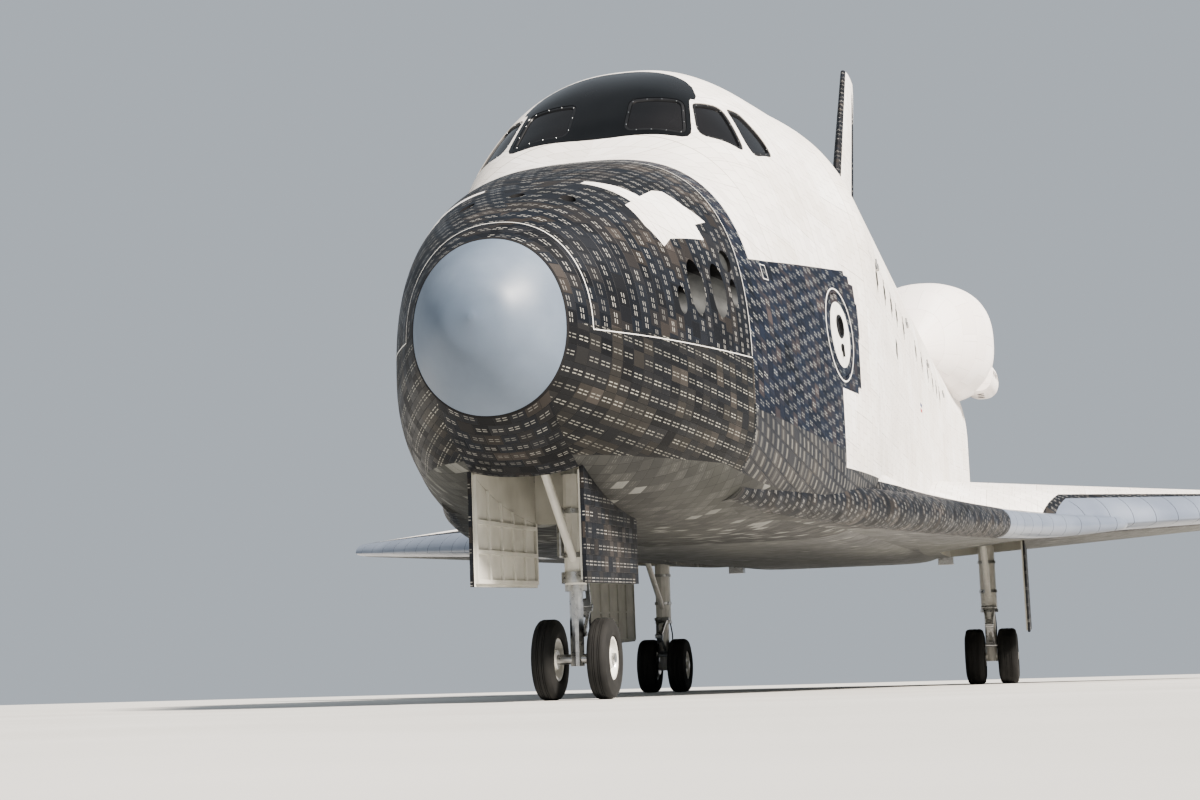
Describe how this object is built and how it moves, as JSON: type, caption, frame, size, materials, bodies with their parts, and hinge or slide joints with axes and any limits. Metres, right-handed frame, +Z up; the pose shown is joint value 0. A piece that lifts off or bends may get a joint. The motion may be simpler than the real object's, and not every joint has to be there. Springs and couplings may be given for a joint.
{
  "type": "space shuttle orbiter",
  "caption": "Winged spaceplane parked on its landing gear, with opening payload bay doors, side hatch, elevons, body flap and a split rudder that doubles as a speed brake.",
  "frame": {"origin": "on the ground, under the middle of the orbiter's bounding box", "axes": "+Z up, nose towards -Y, port wing towards +X"},
  "size_m": [23.792, 36.6656, 17.1869],
  "materials": {
    "white_tile": "matt coated silica tile and felt blanket",
    "black_tile": "matt borosilicate glazed silica tile",
    "grey_carbon": "satin coated reinforced carbon",
    "window_glass": "dark glass",
    "engine_metal": "heat tinted nickel alloy",
    "gear_paint": "white enamel",
    "gear_steel": "machined",
    "tyre_rubber": "matt rubber"
  },
  "bodies": {
    "airframe": {"nose_cap": "grey_carbon", "nose_thruster_module": "white_tile", "forward_fuselage_lower": "black_tile", "crew_cabin": "white_tile", "windshield": "window_glass", "overhead_windows": "window_glass", "mid_fuselage": "white_tile", "aft_fuselage": "white_tile", "vertical_fin": "white_tile", "wing_left": "black_tile", "wing_right": "black_tile", "leading_edge_left": "grey_carbon", "leading_edge_right": "grey_carbon", "engine_pod_left": "white_tile", "engine_pod_right": "white_tile", "pod_nozzle_left": "engine_metal", "pod_nozzle_right": "engine_metal", "main_engine_top": "engine_metal", "main_engine_left": "engine_metal", "main_engine_right": "engine_metal", "nose_gear_leg": "gear_paint", "nose_gear_door_left": "black_tile", "nose_gear_door_right": "black_tile", "main_gear_leg_left": "gear_paint", "main_gear_leg_right": "gear_paint", "main_gear_door_left": "black_tile", "main_gear_door_right": "black_tile"},
    "side_hatch": {"side_hatch": "white_tile"},
    "payload_bay_door_left": {"payload_bay_door_left": "white_tile"},
    "payload_bay_door_right": {"payload_bay_door_right": "white_tile"},
    "elevon_inboard_left": {"elevon_inboard_left": "black_tile"},
    "elevon_outboard_left": {"elevon_outboard_left": "black_tile"},
    "elevon_inboard_right": {"elevon_inboard_right": "black_tile"},
    "elevon_outboard_right": {"elevon_outboard_right": "black_tile"},
    "body_flap": {"body_flap": "black_tile"},
    "rudder": {"rudder_post": "gear_steel"},
    "rudder_panel_left": {"rudder_panel_left": "white_tile"},
    "rudder_panel_right": {"rudder_panel_right": "white_tile"},
    "nose_steering": {"nose_steering_fork": "gear_steel"},
    "nose_wheels": {"nose_wheel_left": "tyre_rubber", "nose_wheel_right": "tyre_rubber"},
    "main_wheels_left": {"main_wheel_inner_left": "tyre_rubber", "main_wheel_outer_left": "tyre_rubber"},
    "main_wheels_right": {"main_wheel_inner_right": "tyre_rubber", "main_wheel_outer_right": "tyre_rubber"}
  },
  "joints": [
    {"name": "side_hatch_hinge", "type": "hinge", "parent": "airframe", "child": "side_hatch", "pos_m": [2.4481, -11.55999, 3.6798], "axis": [0.1458, 0.9884, 0.0432], "range_deg": [0, 90]},
    {"name": "payload_bay_door_left_hinge", "type": "hinge", "parent": "airframe", "child": "payload_bay_door_left", "pos_m": [2.66352, -0.43601, 6.07859], "axis": [0, 0.999, 0.0436], "range_deg": [0, 175.5]},
    {"name": "payload_bay_door_right_hinge", "type": "hinge", "parent": "airframe", "child": "payload_bay_door_right", "pos_m": [-2.66352, -0.43601, 6.07859], "axis": [0, -0.999, -0.0436], "range_deg": [0, 175.5]},
    {"name": "elevon_inboard_left_hinge", "type": "hinge", "parent": "airframe", "child": "elevon_inboard_left", "pos_m": [5.4, 10.92325, 3.47784], "axis": [0.9992, -0.0018, 0.0408], "range_deg": [-20, 35]},
    {"name": "elevon_outboard_left_hinge", "type": "hinge", "parent": "airframe", "child": "elevon_outboard_left", "pos_m": [9.8, 10.9154, 3.65769], "axis": [0.9992, -0.0018, 0.0408], "range_deg": [-20, 35]},
    {"name": "elevon_inboard_right_hinge", "type": "hinge", "parent": "airframe", "child": "elevon_inboard_right", "pos_m": [-5.4, 10.92325, 3.47784], "axis": [0.9992, 0.0018, -0.0408], "range_deg": [-20, 35]},
    {"name": "elevon_outboard_right_hinge", "type": "hinge", "parent": "airframe", "child": "elevon_outboard_right", "pos_m": [-9.8, 10.9154, 3.65769], "axis": [0.9992, 0.0018, -0.0408], "range_deg": [-20, 35]},
    {"name": "body_flap_hinge", "type": "hinge", "parent": "airframe", "child": "body_flap", "pos_m": [0, 14.60851, 3.50638], "axis": [1, 0, 0], "range_deg": [-22.5, 11.7]},
    {"name": "rudder_hinge", "type": "hinge", "parent": "airframe", "child": "rudder", "pos_m": [0, 13.56195, 11.52036], "axis": [0, 0.5348, 0.845], "range_deg": [-27.1, 27.1]},
    {"name": "speed_brake_left_hinge", "type": "hinge", "parent": "rudder", "child": "rudder_panel_left", "pos_m": [0, 13.56195, 11.52036], "axis": [0, -0.5348, -0.845], "range_deg": [0, 49.3]},
    {"name": "speed_brake_right_hinge", "type": "hinge", "parent": "rudder", "child": "rudder_panel_right", "pos_m": [0, 13.56195, 11.52036], "axis": [0, 0.5348, 0.845], "range_deg": [0, 49.3]},
    {"name": "nose_steering", "type": "hinge", "parent": "airframe", "child": "nose_steering", "pos_m": [0, -15.01, 1], "axis": [0, 0, 1], "range_deg": [-10, 10]},
    {"name": "nose_wheels_axle", "type": "hinge", "parent": "nose_steering", "child": "nose_wheels", "pos_m": [0, -15.01, 0.406], "axis": [1, 0, 0], "continuous": true},
    {"name": "main_wheels_left_axle", "type": "hinge", "parent": "airframe", "child": "main_wheels_left", "pos_m": [3.455, 5.49, 0.565], "axis": [1, 0, 0], "continuous": true},
    {"name": "main_wheels_right_axle", "type": "hinge", "parent": "airframe", "child": "main_wheels_right", "pos_m": [-3.455, 5.49, 0.565], "axis": [1, 0, 0], "continuous": true}
  ],
  "couplings": [
    {"joint": "speed_brake_right_hinge", "follows": "speed_brake_left_hinge", "ratio": 1}
  ]
}
